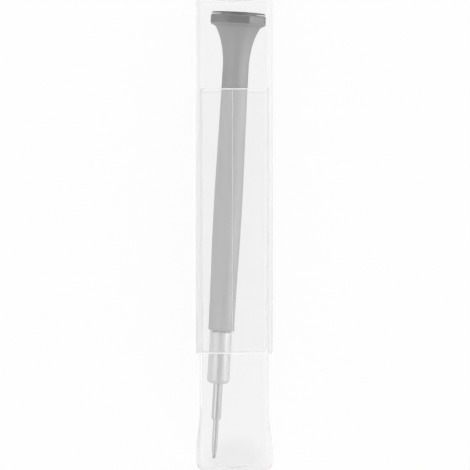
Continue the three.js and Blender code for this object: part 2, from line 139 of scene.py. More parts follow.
# Bearing
BALL_COUNT = 7
BALL_RADIUS = 0.5
BALL_PITCH_RADIUS = 2.5
BALL_SEGMENTS = 28
BALL_RINGS = 18
LAND_RADII = (2.05, 2.95)

# Case
CASE_HALF = 9.5
CASE_CORNER_RADIUS = 2.0
CASE_CORNER_LEAST = 0.4
SLEEVE_WALL = 0.6
SLEEVE_END_RADIUS = 1.4
SLEEVE_END_WALL = 0.7
BASE_HALF = 8.6
BASE_WALL = 0.6
BASE_END_WALL = 0.6
FOOT_CORNER_RADIUS = 2.4
FOOT_HEIGHT = 4.6
FOOT_FLARE_LENGTH = 10
FOOT_DISH_DEPTH = 0.4
SLEEVE_DISH_DEPTH = 0.15
END_DISH_RIM = 2.0
RIM_EASE = 0.28
RIM_FROST = 0.24
# How near the level sides the mouth's painted glow reaches
RIM_PAINTED_GLOW_WITHIN = 0.6
RIM_DEPTH = 2
SEAM_X = -0.5
SEAM_HALF_WIDTH = 0.1
SEAM_RISE = 0.06
SEAM_FOOT = 34.7
SEAM_RUN_IN = 1
SEAM_RUN_OUT = 0.5
FOOT_DIP = 0.35
FOOT_DIP_WIDTH = 1.3
FOOT_DIP_REACH = 1.2

# Where the base's plastic turns darker towards its foot, as a place on the part and its reach across, along and up,
# and the share of that reach that is fully darkened
FOOT_CENTRE_M = (0.0002, -0.059, 0.019)
FOOT_REACH_M = (0.0095, 0.011, 1)
DARKEST_CORE = 0.5

# Facets
COLUMNS = 96
CORNER_STEPS = 20
SIDE_STEPS = 10
EDGE_EASE = 0.08
EASE_MOST = 0.45
SHARP_DEGREES = 38
MERGE_WITHIN_M = 1e-8
DEGENERATE_WITHIN_M = 1e-9
LEAST_COSINE = 1e-6

# How far a turned face leans towards the head: above the first it is a top, above the second a side, and below
# the third an underside
TOP_LEAN = 0.8
SIDE_LEAN = -0.3
UNDER_LEAN = -0.6

# How far a case face's normal points up or down: above the first it is level, above the second a rounded edge
LEVEL_PART = 0.9
EDGE_PART = 0.1

# A case half's finishes, in the order of its materials. The underside's finish carries a painted shade and the last a
# painted glow
SIDE, TOP, FROSTED, WORN, UNDER, PAINTED_GLOW = range(6)

# Marks of turning and handling
MARKS_DETAIL = 3
MARKS_STRENGTH = 0.35
PATCH_DETAIL = 5
PATCH_ROUGHNESS = 0.62
PATCH_SPREAD = (0.32, 0.68)
METAL_PATCHES_PER_METRE = 300
PLASTIC_SCUFFS_PER_METRE = 420
GREY_BLUE_SHARE = 1.01

# Light
PLASTIC_IOR = 1.2
PLASTIC_SHADOW = 0.985
FLOOR_HALF_M = 3
FLOOR_BELOW = 0.05
FLOOR_SHADE = 0.94
FLOOR_WHITE_SHARE = 0.94
OVERHEAD_FROM = (0.7, 0.98)
OVERHEAD_TO = (0.97, 0.55)
ACROSS_FROM = (-0.9, 0.5)
ACROSS_TO = (0.86, 1.0)
LIGHT_BOUNCES = 160


def camera():
    """A long lens straight above the case, framed as the photograph is."""
    data = bpy.data.cameras.new("camera")
    data.lens = LENS
    data.sensor_width = SENSOR
    data.clip_start = CLIP_NEAR_M
    data.clip_end = CLIP_FAR_M
    made = bpy.data.objects.new("camera", data)
    height = CASE_HALF + FRAME_PIXELS * MM_PER_PIXEL * LENS / SENSOR
    made.location = Vector((*PICTURE_CENTRE, height)) * MM
    bpy.context.scene.collection.objects.link(made)
    bpy.context.scene.camera = made


camera()


# Frames


def tool_frame():
    """A matrix from the tool's own millimetres to the part's metres."""
    swivel = next(j for j in frame["joints"] if j["name"] == "cap_swivel")
    along = Vector(swivel["axis"]).normalized()
    side = Vector((along.y, -along.x, 0)).normalized()
    point = Vector(swivel["pos_m"])
    tip = min(v.co.dot(along) for v in frame["nodes"]["blade"].data.vertices)
    origin = point + (tip - point.dot(along)) * along
    turn = Matrix((side, along, side.cross(along))).transposed().to_4x4()
    return Matrix.Translation(origin) @ turn @ Matrix.Scale(MM, 4)


TOOL = tool_frame()
TOOL_AXIS = (TOOL.to_3x3() @ Vector((0, 1, 0))).normalized()


def stations(node):
    """Where a node starts and ends along the tool's axis, in millimetres from the tip."""
    back = TOOL.inverted()
    heights = [(back @ v.co).y for v in frame["nodes"][node].data.vertices]
    return min(heights), max(heights)


def case_frame(end, direction):
    """A matrix from a case half's own millimetres, counted from its closed end, to the part's metres."""
    flip = Matrix.Rotation(math.pi, 4, "Z") if direction < 0 else Matrix.Identity(4)
    return Matrix.Translation((0, end, CASE_HALF * MM)) @ flip @ Matrix.Scale(MM, 4)


# Meshes


def grid_mesh(name, rings, place, closed=False):
    """A skin through rings of points that all have the same count. Doubles at the poles are merged."""
    bm = bmesh.new()
    rows = [[bm.verts.new(place @ Vector(p)) for p in ring] for ring in rings]
    pairs = list(zip(rows, rows[1:]))
    if closed:
        pairs.append((rows[-1], rows[0]))
    for lower, upper in pairs:
        for i, here in enumerate(lower):
            k = (i + 1) % len(lower)
            bm.faces.new((here, lower[k], upper[k], upper[i]))
    bmesh.ops.remove_doubles(bm, verts=bm.verts, dist=MERGE_WITHIN_M)
    bmesh.ops.dissolve_degenerate(bm, edges=bm.edges, dist=DEGENERATE_WITHIN_M)
    bmesh.ops.recalc_face_normals(bm, faces=bm.faces)
    mesh = bpy.data.meshes.new(name)
    bm.to_mesh(mesh)
    bm.free()
    mesh.shade_smooth()
    mesh.set_sharp_from_angle(angle=math.radians(SHARP_DEGREES))
    return mesh


def eased(profile, ease=EDGE_EASE, steps=3):
    """A profile with each of its inner corners rounded by up to ease."""
    points = [Vector(p) for p in profile]
    out = [points[0]]
    for before, corner, after in zip(points, points[1:], points[2:]):
        back, on = before - corner, after - corner
        reach = min(ease, back.length * EASE_MOST, on.length * EASE_MOST)
        first = corner + back.normalized() * reach
        last = corner + on.normalized() * reach
        for i in range(steps + 1):
            s = i / steps
            out.append(first * (1 - s) ** 2 + corner * 2 * s * (1 - s) + last * s * s)
    out.append(points[-1])
    return [(p.x, p.y) for p in out]


def even_angles(columns=COLUMNS):
    return [2 * math.pi * i / columns for i in range(columns)]


def turned(name, profile, angles=None, closed=False):
    """A profile of radius and height spun about the tool's axis. It may be a function of the angle."""
    angles = angles or even_angles()
    columns = [profile(a) if callable(profile) else profile for a in angles]
    rings = [
        [(c[row][0] * math.sin(a), c[row][1], c[row][0] * math.cos(a)) for a, c in zip(angles, columns)]
        for row in range(len(columns[0]))
    ]
    return grid_mesh(name, rings, TOOL, closed)


def tool_faces(mesh):
    """Each face of a turned mesh with its middle's radius and height and how far it leans towards the head."""
    back = TOOL.inverted()
    for face in mesh.polygons:
        middle = back @ face.center
        lean = (back.to_3x3() @ face.normal).normalized().y
        yield face, math.hypot(middle.x, middle.z), middle.y, lean


def square_ring(half, height, rise=0, dip=0):
    """A square with rounded corners round Y, as points. Squares within each other have concentric corners.
    A fine seam on the top may rise, and the middle of the top and bottom sides may dip into the end."""
    radius = min(max(CASE_CORNER_RADIUS + half - CASE_HALF, CASE_CORNER_LEAST), half)
    straight = half - radius
    ring = []
    for quarter in range(4):
        middle = (quarter + 0.5) * math.pi / 2
        x = math.copysign(straight, math.cos(middle))
        z = math.copysign(straight, math.sin(middle))
        for step in range(CORNER_STEPS + 1):
            a = (quarter + step / CORNER_STEPS) * math.pi / 2
            ring.append((x + radius * math.cos(a), height, z + radius * math.sin(a)))
        turn = Matrix.Rotation(-quarter * math.pi / 2, 3, "Y")
        places = [(straight * i / SIDE_STEPS, 0) for i in range(SIDE_STEPS - 1, -SIDE_STEPS, -1)]
        if quarter == 0:
            seam = ((SEAM_X + SEAM_HALF_WIDTH, 0), (SEAM_X, rise), (SEAM_X - SEAM_HALF_WIDTH, 0))
            places = sorted([*places, *seam], reverse=True)
        for u, lift in places:
            u = max(-straight, min(straight, u))
            sunk = dip * math.exp(-((u / FOOT_DIP_WIDTH) ** 2)) if quarter % 2 == 0 else 0
            ring.append(turn @ Vector((u, height + sunk, half + lift)))
    return ring


# Shared shader effects


def new_group(name, inputs, outputs):
    """An empty shader group with its named sockets, and its two end nodes."""
    tree = bpy.data.node_groups.new(name, "ShaderNodeTree")
    for kind, label, value in inputs:
        tree.interface.new_socket(label, in_out="INPUT", socket_type=kind).default_value = value
    for kind, label in outputs:
        tree.interface.new_socket(label, in_out="OUTPUT", socket_type=kind)
    return tree, tree.nodes.new("NodeGroupInput"), tree.nodes.new("NodeGroupOutput")


def turning_marks_group():
    """Fine rings that a lathe leaves round an axis, as a value about 0.5."""
    tree, given, result = new_group(
        "turning_marks",
        [
            ("NodeSocketVector", "Place", (0, 0, 0)),
            ("NodeSocketVector", "Axis", (0, 1, 0)),
            ("NodeSocketFloat", "Rings per metre", 9000),
        ],
        [("NodeSocketFloat", "Marks")],
    )
    along = tree.nodes.new("ShaderNodeVectorMath")
    along.operation = "DOT_PRODUCT"
    tree.links.new(given.outputs["Place"], along.inputs[0])
    tree.links.new(given.outputs["Axis"], along.inputs[1])
    rings = tree.nodes.new("ShaderNodeTexNoise")
    rings.noise_dimensions = "1D"
    rings.inputs["Detail"].default_value = MARKS_DETAIL
    tree.links.new(along.outputs["Value"], rings.inputs["W"])
    tree.links.new(given.outputs["Rings per metre"], rings.inputs["Scale"])
    tree.links.new(rings.outputs["Fac"], result.inputs["Marks"])
    return tree


def handling_group():
    """Patches that hands and storage leave on a surface, mapped between two values."""
    tree, given, result = new_group(
        "handling",
        [
            ("NodeSocketVector", "Place", (0, 0, 0)),
            ("NodeSocketFloat", "Patches per metre", 260),
            ("NodeSocketFloat", "Low", 0.3),
            ("NodeSocketFloat", "High", 0.4),
        ],
        [("NodeSocketFloat", "Value")],
    )
    patches = tree.nodes.new("ShaderNodeTexNoise")
    patches.inputs["Detail"].default_value = PATCH_DETAIL
    patches.inputs["Roughness"].default_value = PATCH_ROUGHNESS
    tree.links.new(given.outputs["Place"], patches.inputs["Vector"])
    tree.links.new(given.outputs["Patches per metre"], patches.inputs["Scale"])
    spread = tree.nodes.new("ShaderNodeMapRange")
    spread.inputs["From Min"].default_value, spread.inputs["From Max"].default_value = PATCH_SPREAD
    tree.links.new(patches.outputs["Fac"], spread.inputs["Value"])
    tree.links.new(given.outputs["Low"], spread.inputs["To Min"])
    tree.links.new(given.outputs["High"], spread.inputs["To Max"])
    tree.links.new(spread.outputs["Result"], result.inputs["Value"])
    return tree


def foot_darkening_group():
    """How near a place is to a centre, for a darker tint about it: 1 near it, 0 beyond its reach."""
    tree, given, result = new_group(
        "foot_darkening",
        [
            ("NodeSocketVector", "Place", (0, 0, 0)),
            ("NodeSocketVector", "Centre", (0, 0, 0)),
            ("NodeSocketVector", "Reach", (1, 1, 1)),
        ],
        [("NodeSocketFloat", "Share")],
    )
    offset = tree.nodes.new("ShaderNodeVectorMath")
    offset.operation = "SUBTRACT"
    tree.links.new(given.outputs["Place"], offset.inputs[0])
    tree.links.new(given.outputs["Centre"], offset.inputs[1])
    scaled = tree.nodes.new("ShaderNodeVectorMath")
    scaled.operation = "DIVIDE"
    tree.links.new(offset.outputs["Vector"], scaled.inputs[0])
    tree.links.new(given.outputs["Reach"], scaled.inputs[1])
    distance = tree.nodes.new("ShaderNodeVectorMath")
    distance.operation = "LENGTH"
    tree.links.new(scaled.outputs["Vector"], distance.inputs[0])
    fade = tree.nodes.new("ShaderNodeMapRange")
    fade.interpolation_type = "SMOOTHSTEP"
    fade.inputs["From Min"].default_value = 1
    fade.inputs["From Max"].default_value = DARKEST_CORE
    tree.links.new(distance.outputs["Value"], fade.inputs["Value"])
    tree.links.new(fade.outputs["Result"], result.inputs["Share"])
    return tree


TURNING_MARKS = turning_marks_group()
HANDLING = handling_group()
FOOT_DARKENING = foot_darkening_group()


# Finishes


def new_material(name):
    material = bpy.data.materials.new(name)
    material.use_nodes = True
    return material, material.node_tree, material.node_tree.nodes["Principled BSDF"]


def placed_group(tree, group, **values):
    """A shader group fed with the piece's own coordinates."""
    place = tree.nodes.new("ShaderNodeTexCoord")
    made = tree.nodes.new("ShaderNodeGroup")
    made.node_tree = group
    tree.links.new(place.outputs["Object"], made.inputs["Place"])
    for label, value in values.items():
        made.inputs[label.replace("_", " ")].default_value = value
    return made


def shade_between(tree, value, dark, light):
    """A colour that runs from dark to light with a value."""
    mix = tree.nodes.new("ShaderNodeMix")
    mix.data_type = "RGBA"
    mix.inputs["A"].default_value = (*dark, 1)
    mix.inputs["B"].default_value = (*light, 1)
    tree.links.new(value, mix.inputs["Factor"])
    return mix.outputs["Result"]


def grey(value):
    """A metal's grey, a touch blue."""
    return (value, value, value * GREY_BLUE_SHARE)


def turned_metal(name, dark, light, rough, rings, ring_height, metallic=1.0):
    """A turned metal with ring marks, patchy gloss and a slight change of tone."""
    material, tree, shader = new_material(name)
    shader.inputs["Metallic"].default_value = metallic
    patches = placed_group(tree, HANDLING, Patches_per_metre=METAL_PATCHES_PER_METRE, Low=rough[0], High=rough[1])
    tree.links.new(patches.outputs["Value"], shader.inputs["Roughness"])
    marks = placed_group(tree, TURNING_MARKS, Axis=TOOL_AXIS, Rings_per_metre=rings)
    tree.links.new(shade_between(tree, marks.outputs["Marks"], dark, light), shader.inputs["Base Color"])
    bump = tree.nodes.new("ShaderNodeBump")
    bump.inputs["Strength"].default_value = MARKS_STRENGTH
    bump.inputs["Distance"].default_value = ring_height * MM
    tree.links.new(marks.outputs["Marks"], bump.inputs["Height"])
    tree.links.new(bump.outputs["Normal"], shader.inputs["Normal"])
    return material


def clear_plastic(name, tint, haze, rough, foot_tint=None, glow=0):
    """Thin clear plastic that is a little cloudy. Lamps shine through it. Its tint may deepen towards the foot, and
    an edge may carry a painted glow, an emission that stands in for the light the wall carries to it."""
    material, tree, shader = new_material(name)
    shader.inputs["Base Color"].default_value = (tint, tint, tint, 1)
    if foot_tint:
        darkening = placed_group(tree, FOOT_DARKENING, Centre=FOOT_CENTRE_M, Reach=FOOT_REACH_M)
        deepened = shade_between(tree, darkening.outputs["Share"], (tint,) * 3, (foot_tint,) * 3)
        tree.links.new(deepened, shader.inputs["Base Color"])
    shader.inputs["IOR"].default_value = PLASTIC_IOR
    shader.inputs["Transmission Weight"].default_value = 1 - haze
    # A painted glow: emission that stands in for light the wall carries to an edge
    shader.inputs["Emission Strength"].default_value = glow
    scuffs = placed_group(tree, HANDLING, Patches_per_metre=PLASTIC_SCUFFS_PER_METRE, Low=rough[0], High=rough[1])
    tree.links.new(scuffs.outputs["Value"], shader.inputs["Roughness"])
    light_path = tree.nodes.new("ShaderNodeLightPath")
    through = tree.nodes.new("ShaderNodeBsdfTransparent")
    through.inputs["Color"].default_value = (PLASTIC_SHADOW, PLASTIC_SHADOW, PLASTIC_SHADOW, 1)
    mix = tree.nodes.new("ShaderNodeMixShader")
    tree.links.new(light_path.outputs["Is Shadow Ray"], mix.inputs["Fac"])
    tree.links.new(shader.outputs["BSDF"], mix.inputs[1])
    tree.links.new(through.outputs["BSDF"], mix.inputs[2])
    tree.links.new(mix.outputs["Shader"], tree.nodes["Material Output"].inputs["Surface"])
    return material


GRIP_METAL = turned_metal(
    "grip_metal", grey(0.335), grey(0.385), rough=(0.52, 0.62), rings=2600, ring_height=0.003, metallic=0.65
)
FLAT_METAL = turned_metal(
    "flat_metal", grey(0.165), grey(0.195), rough=(0.18, 0.26), rings=2000, ring_height=0.001, metallic=0.95
)
CAP_METAL = turned_metal(
    "cap_metal", grey(0.04), grey(0.06), rough=(0.3, 0.42), rings=5200, ring_height=0.004, metallic=0.7
)
NUT_STEEL = turned_metal("nut_steel", grey(0.6), grey(0.66), rough=(0.42, 0.5), rings=2600, ring_height=0.001)
BLADE_STEEL = turned_metal("blade_steel", grey(0.5), grey(0.58), rough=(0.26, 0.36), rings=2400, ring_height=0.001)
BRIGHT_CUT = turned_metal("bright_cut", grey(0.8), grey(0.88), rough=(0.08, 0.16), rings=2600, ring_height=0.0005)
BEARING_STEEL = turned_metal(
    "bearing_steel", grey(0.6), grey(0.66), rough=(0.08, 0.14), rings=9000, ring_height=0.001
)
CAGE_BRASS = turned_metal(
    "cage_brass", (0.42, 0.3, 0.1), (0.5, 0.36, 0.13), rough=(0.28, 0.4), rings=5000, ring_height=0.003
)
SLEEVE_PLASTIC = clear_plastic("sleeve_plastic", tint=0.98, haze=0.12, rough=(0.02, 0.06))
BASE_PLASTIC = clear_plastic("base_plastic", tint=0.97, haze=0.23, rough=(0.02, 0.06), foot_tint=0.87)
CLEAR_SIDE = clear_plastic("clear_side", tint=0.99, haze=0, rough=(0, 0.02))
# Downward faces, darker with a painted shade of the case's shadow on the floor beneath
PAINTED_SHADE_UNDERSIDE = clear_plastic("underside", tint=0.93, haze=0, rough=(0, 0.02))
SLEEVE_WORN_EDGE = clear_plastic("sleeve_worn_edge", tint=0.95, haze=0.5, rough=(0.05, 0.12))
BASE_WORN_EDGE = clear_plastic("base_worn_edge", tint=0.93, haze=0.6, rough=(0.05, 0.12))
FROSTED_EDGE = clear_plastic("frosted_edge", tint=0.98, haze=0.62, rough=(0.08, 0.14))
# The mouth's level sides: frosted, with a painted glow from emission
PAINTED_GLOW_EDGE = clear_plastic("painted_glow_edge", tint=0.98, haze=0.62, rough=(0.08, 0.14), glow=0.11)


# Pieces


def finished(name, mesh, materials, body, slot, *nodes):
    """A piece that stands for CAD nodes and rides on their body. Its slot argument is not used."""
    for material in materials:
        mesh.materials.append(material)
    made = bpy.data.objects.new(name, mesh)
    bpy.context.scene.collection.objects.link(made)
    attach(made, body)
    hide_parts(*nodes)
    return made


SPIGOT_FOOT, HANDLE_TOP = stations("handle")
NUT_FOOT, NUT_TOP = stations("chuck_nut")
COLLET_FOOT, COLLET_TOP = stations("collet")
BEARING_FOOT, BEARING_TOP = stations("bearing_outer_race")
SKIRT_FOOT, TOOL_TOP = stations("swivel_cap")
SCREW_FOOT = stations("pivot_screw")[0]
SHANK_TOP = stations("blade")[1]
HANDLE_FOOT = SPIGOT_FOOT + SPIGOT_LENGTH
HEAD_FLAT_FOOT = HANDLE_TOP - HEAD_TOP_CHAMFER - HEAD_FLAT_HEIGHT
UNDERCUT_FOOT = HEAD_FLAT_FOOT - HEAD_UNDERCUT_HEIGHT
WAIST = UNDERCUT_FOOT - BELL_LENGTH


def grip_curve(steps=32):
    """The grip from its lower end over its belly to its waist."""
    foot, belly = HANDLE_FOOT + GRIP_END_CHAMFER, HANDLE_FOOT + GRIP_BELLY_HEIGHT
    points = []
    for i in range(steps + 1):
        t = foot + (WAIST - foot) * i / steps
        end = GRIP_END_RADIUS if t < belly else GRIP_WAIST_RADIUS
        share = (belly - t) / (belly - foot) if t < belly else (t - belly) / (WAIST - belly)
        swell = 0.5 + 0.5 * math.cos(math.pi * share)
        points.append((end + (GRIP_BELLY_RADIUS - end) * swell, t))
    return points


def bell_curve(steps=24):
    """The trumpet flare, a stretch of an ellipse that leaves the waist straight up."""
    end = HEAD_HALF - HEAD_UNDERCUT
    share = BELL_LENGTH / BELL_SEMI_AXIS
    radial = (end - GRIP_WAIST_RADIUS) / (1 - math.sqrt(1 - share * share))
    points = []
    for i in range(1, steps + 1):
        u = share * i / steps
        points.append((GRIP_WAIST_RADIUS + radial * (1 - math.sqrt(1 - u * u)), WAIST + u * BELL_SEMI_AXIS))
    return points


def head_limit(angle):
    """The head's radius at an angle: eight flats with slightly eased corners."""
    step = 2 * math.pi / HEAD_SIDES
    off = (angle + step / 2) % step - step / 2
    corner = HEAD_HALF / math.cos(step / 2)
    return min(HEAD_HALF / math.cos(off), corner - HEAD_CORNER_EASE)


def head_angles(flat_steps=10):
    """Angles that fall on both sides of each of the head's eased corners and evenly between them."""
    step = 2 * math.pi / HEAD_SIDES
    corner = HEAD_HALF / math.cos(step / 2) - HEAD_CORNER_EASE
    flat_half = math.acos(HEAD_HALF / corner)
    angles = []
    for side in range(HEAD_SIDES):
        for i in range(flat_steps + 1):
            angles.append(side * step - flat_half + 2 * flat_half * i / flat_steps)
    return angles


def handle():
    grip, bell = grip_curve(), bell_curve()
    recess_floor = BEARING_FOOT - HOLE_GAP
    inside_foot = [
        (0, SHANK_TOP + BLADE_TRAVEL + HOLE_GAP),
        (BLADE_HOLE_RADIUS, SHANK_TOP + BLADE_TRAVEL + HOLE_GAP),
        (BLADE_HOLE_RADIUS, COLLET_TOP + HOLE_GAP),
        (CHUCK_HOLE_RADIUS, COLLET_TOP + HOLE_GAP),
    ]
    foot = eased(
        [
            (CHUCK_HOLE_RADIUS, SPIGOT_FOOT + SPIGOT_LENGTH / 2),
            (CHUCK_HOLE_RADIUS, SPIGOT_FOOT),
            (SPIGOT_RADIUS, SPIGOT_FOOT),
            (SPIGOT_RADIUS, HANDLE_FOOT),
            (GRIP_END_RADIUS - GRIP_END_CHAMFER, HANDLE_FOOT),
            grip[0],
            grip[1],
        ]
    )
    inside_head = [
        (LAND_RADII[0], recess_floor),
        (LAND_RADII[0], BEARING_FOOT - SEAT_GAP),
        (POST_RADIUS, BEARING_FOOT - SEAT_GAP),
        (POST_RADIUS, BEARING_TOP - POST_SHORT_BY),
        (SCREW_HOLE_RADIUS, BEARING_TOP - POST_SHORT_BY),
        (SCREW_HOLE_RADIUS, SCREW_FOOT - HOLE_GAP),
        (0, SCREW_FOOT - HOLE_GAP),
    ]

    def profile(angle):
        limit = head_limit(angle)
        head = eased(
            [
                bell[-1],
                (limit, HEAD_FLAT_FOOT),
                (limit, HANDLE_TOP - HEAD_TOP_CHAMFER),
                (limit - HEAD_TOP_CHAMFER, HANDLE_TOP),
                (RECESS_RADIUS, HANDLE_TOP),
                (RECESS_RADIUS, recess_floor),
                inside_head[0],
            ]
        )
        return [*inside_foot, *foot, *grip[2:], *bell[:-1], *head, *inside_head[1:]]

    mesh = turned("handle_turned", profile, head_angles())
    materials = [GRIP_METAL, FLAT_METAL, BRIGHT_CUT]
    for face, radius, height, lean in tool_faces(mesh):
        if height > HEAD_FLAT_FOOT and radius > RECESS_RADIUS + EDGE_EASE:
            finish = BRIGHT_CUT if lean > TOP_LEAN else FLAT_METAL if lean > SIDE_LEAN else GRIP_METAL
            face.material_index = materials.index(finish)
    finished("handle_turned", mesh, materials, "tool_handle", "grey_metal", "handle")


def swivel_cap():
    plate_foot = TOOL_TOP - CAP_THICKNESS
    pocket, pocket_floor = INSERT_RADIUS + SEAT_GAP, TOOL_TOP - INSERT_THICKNESS - SEAT_GAP
    outside = eased(
        [
            (CAP_SKIRT_RADIUS, SKIRT_FOOT),
            (CAP_SKIRT_RADIUS, plate_foot),
            (CAP_RADIUS, plate_foot),
            (CAP_RADIUS, TOOL_TOP),
            (pocket, TOOL_TOP),
            (pocket, pocket_floor),
        ],
        ease=CAP_EDGE,
        steps=5,
    )
    inside = [
        (CAP_SCREW_WAY, pocket_floor),
        (CAP_SCREW_WAY, plate_foot),
        (LAND_RADII[1], plate_foot),
        (LAND_RADII[1], BEARING_TOP + SEAT_GAP),
        (CAP_RACE_SEAT, BEARING_TOP + SEAT_GAP),
        (CAP_RACE_SEAT, SKIRT_FOOT),
    ]
    mesh = turned("swivel_cap_turned", [*outside, *inside], closed=True)
    materials = [CAP_METAL, BRIGHT_CUT]
    for face, radius, height, lean in tool_faces(mesh):
        below = height < plate_foot + CAP_EDGE / 2
        inward = lean < UNDER_LEAN or radius < CAP_SKIRT_RADIUS + EDGE_EASE
        face.material_index = materials.index(BRIGHT_CUT if below and inward else CAP_METAL)
    finished("swivel_cap_turned", mesh, materials, "tool_cap", "dark_metal", "swivel_cap")


def cap_insert(steps=16):
    rim = eased(
        [(0, TOOL_TOP - INSERT_THICKNESS), (INSERT_RADIUS, TOOL_TOP - INSERT_THICKNESS), (INSERT_RADIUS, TOOL_TOP)]
    )
    dish = []
    for i in range(steps + 1):
        r = INSERT_RADIUS * (1 - i / steps)
        dish.append((r, TOOL_TOP - INSERT_DISH * (1 - (r / INSERT_RADIUS) ** 2)))
    mesh = turned("cap_insert_turned", [*rim[:-1], *dish])
    finished("cap_insert_turned", mesh, [GRIP_METAL], "tool_cap", "grey_metal", "cap_insert")


def chuck_nut():
    cone_top = SPIGOT_FOOT - NUT_CONE_BELOW_SPIGOT
    outside = eased(
        [
            (NUT_EXIT_RADIUS, NUT_FOOT + NUT_FLOOR),
            (NUT_EXIT_RADIUS, NUT_FOOT),
            (NUT_RADIUS - NUT_CHAMFER, NUT_FOOT),
            (NUT_RADIUS, NUT_FOOT + NUT_CHAMFER),
            (NUT_RADIUS, NUT_TOP),
            (NUT_THREAD_RADIUS, NUT_TOP),
            (NUT_THREAD_RADIUS, cone_top),
        ],
        ease=NUT_EDGE_EASE,
        steps=4,
    )
    inside = [
        (NUT_CONE_RADII[1], cone_top),
        (NUT_CONE_RADII[0], COLLET_FOOT),
        (NUT_CONE_RADII[0], NUT_FOOT + NUT_FLOOR),
    ]
    mesh = turned("chuck_nut_turned", [*outside, *inside], closed=True)
    finished("chuck_nut_turned", mesh, [NUT_STEEL], "chuck_collar", "polished_steel", "chuck_nut")


def ground_half(t):
    """Half the thickness that the hollow grind leaves at a height above the tip."""
    s = min(t / TIP_GROUND_LENGTH, 1)
    end = ROD_RADIUS + TIP_GRIND_RUN_OUT
    return TIP_HALF_THICKNESS * (1 - s) ** 2 + (TIP_HALF_THICKNESS + TIP_HOLLOW) * 2 * s * (1 - s) + end * s * s


def blade():
    rod_foot = TIP_TAPER + TIP_LAND
    shank_foot = rod_foot + ROD_LENGTH
    outline = eased(
        [
            (0, 0),
            (TIP_RADIUS, 0),
            (TIP_RADIUS, TIP_LAND),
            (ROD_RADIUS, rod_foot),
            (ROD_RADIUS, shank_foot),
            (SHANK_RADIUS - SHANK_CHAMFER, shank_foot),
            (SHANK_RADIUS, shank_foot + SHANK_CHAMFER),
            (SHANK_RADIUS, SHANK_TOP - SHANK_CHAMFER),
            (SHANK_RADIUS - SHANK_CHAMFER, SHANK_TOP),
            (0, SHANK_TOP),
        ],
        ease=BLADE_EDGE_EASE,
    )
    rows = []
    for (r0, t0), (r1, t1) in zip(outline, outline[1:]):
        cuts = TIP_ROWS if t0 < TIP_GROUND_LENGTH and t1 - t0 > TIP_ROWS_FROM else 1
        rows += [(r0 + (r1 - r0) * i / cuts, t0 + (t1 - t0) * i / cuts) for i in range(cuts)]
    rows.append(outline[-1])

    def profile(angle):
        lean = max(abs(math.cos(angle)), LEAST_COSINE)
        return [(min(r, ground_half(t) / lean) if t < TIP_GROUND_LENGTH else r, t) for r, t in rows]

    mesh = turned("blade_ground", profile)
    finished("blade_ground", mesh, [BLADE_STEEL], "tool_blade", "blade_steel", "blade")


def ball_ring_nodes():
    """Balls spaced evenly round a circle, as a Geometry Nodes tree."""
    tree = bpy.data.node_groups.new("ball_ring", "GeometryNodeTree")
    sockets = {}
    for kind, label in (
        ("NodeSocketInt", "Count"),
        ("NodeSocketFloat", "Pitch radius"),
        ("NodeSocketFloat", "Ball radius"),
        ("NodeSocketMaterial", "Material"),
    ):
        sockets[label] = tree.interface.new_socket(label, in_out="INPUT", socket_type=kind).identifier
    tree.interface.new_socket("Geometry", in_out="OUTPUT", socket_type="NodeSocketGeometry")
    given, result = tree.nodes.new("NodeGroupInput"), tree.nodes.new("NodeGroupOutput")
    circle = tree.nodes.new("GeometryNodeMeshCircle")
    ball = tree.nodes.new("GeometryNodeMeshUVSphere")
    ball.inputs["Segments"].default_value = BALL_SEGMENTS
    ball.inputs["Rings"].default_value = BALL_RINGS
    smooth = tree.nodes.new("GeometryNodeSetShadeSmooth")
    spread = tree.nodes.new("GeometryNodeInstanceOnPoints")
    real = tree.nodes.new("GeometryNodeRealizeInstances")
    painted = tree.nodes.new("GeometryNodeSetMaterial")
    link = tree.links.new
    link(given.outputs["Count"], circle.inputs["Vertices"])
    link(given.outputs["Pitch radius"], circle.inputs["Radius"])
    link(given.outputs["Ball radius"], ball.inputs["Radius"])
    link(ball.outputs["Mesh"], smooth.inputs["Geometry"])
    link(circle.outputs["Mesh"], spread.inputs["Points"])
    link(smooth.outputs["Geometry"], spread.inputs["Instance"])
    link(spread.outputs["Instances"], real.inputs["Geometry"])
    link(real.outputs["Geometry"], painted.inputs["Geometry"])
    link(given.outputs["Material"], painted.inputs["Material"])
    link(painted.outputs["Geometry"], result.inputs["Geometry"])
    return tree, sockets


def bearing_balls():
    tree, sockets = ball_ring_nodes()
    carrier = bpy.data.objects.new("ball_ring", bpy.data.meshes.new("ball_ring"))
    bpy.context.scene.collection.objects.link(carrier)
    ring = carrier.modifiers.new("ball_ring", "NODES")
    ring.node_group = tree
    ring[sockets["Count"]] = BALL_COUNT
    ring[sockets["Pitch radius"]] = BALL_PITCH_RADIUS
    ring[sockets["Ball radius"]] = BALL_RADIUS
    ring[sockets["Material"]] = BEARING_STEEL
    seen = carrier.evaluated_get(bpy.context.evaluated_depsgraph_get())
    mesh = bpy.data.meshes.new_from_object(seen)
    bpy.data.objects.remove(carrier)
    middle = (BEARING_FOOT + BEARING_TOP) / 2
    # The ring lies across Z and the tool's axis is Y
    to_tool = Matrix(((0, 1, 0, 0), (0, 0, 1, middle), (1, 0, 0, 0), (0, 0, 0, 1)))
    mesh.transform(TOOL @ to_tool)
    nodes = [f"bearing_ball_{i + 1}" for i in range(BALL_COUNT)]
    finished("bearing_balls", mesh, [], "ball_set", "bearing_steel", *nodes)


def end_turn(half, radius, steps=8):
    """The rounded turn from an end face up to a side wall, as half widths and heights."""
    turn = []
    for i in range(steps + 1):
        a = math.pi / 2 * i / steps
        turn.append((half - radius + radius * math.sin(a), radius - radius * math.cos(a)))
    return turn


def end_dish(half, depth, steps=8):
    """A dished end face from its middle out to its rim, as half widths and heights."""
    rim = half - END_DISH_RIM
    return [(rim * i / steps, depth * (1 - (i / steps) ** 2)) for i in range(steps + 1)]


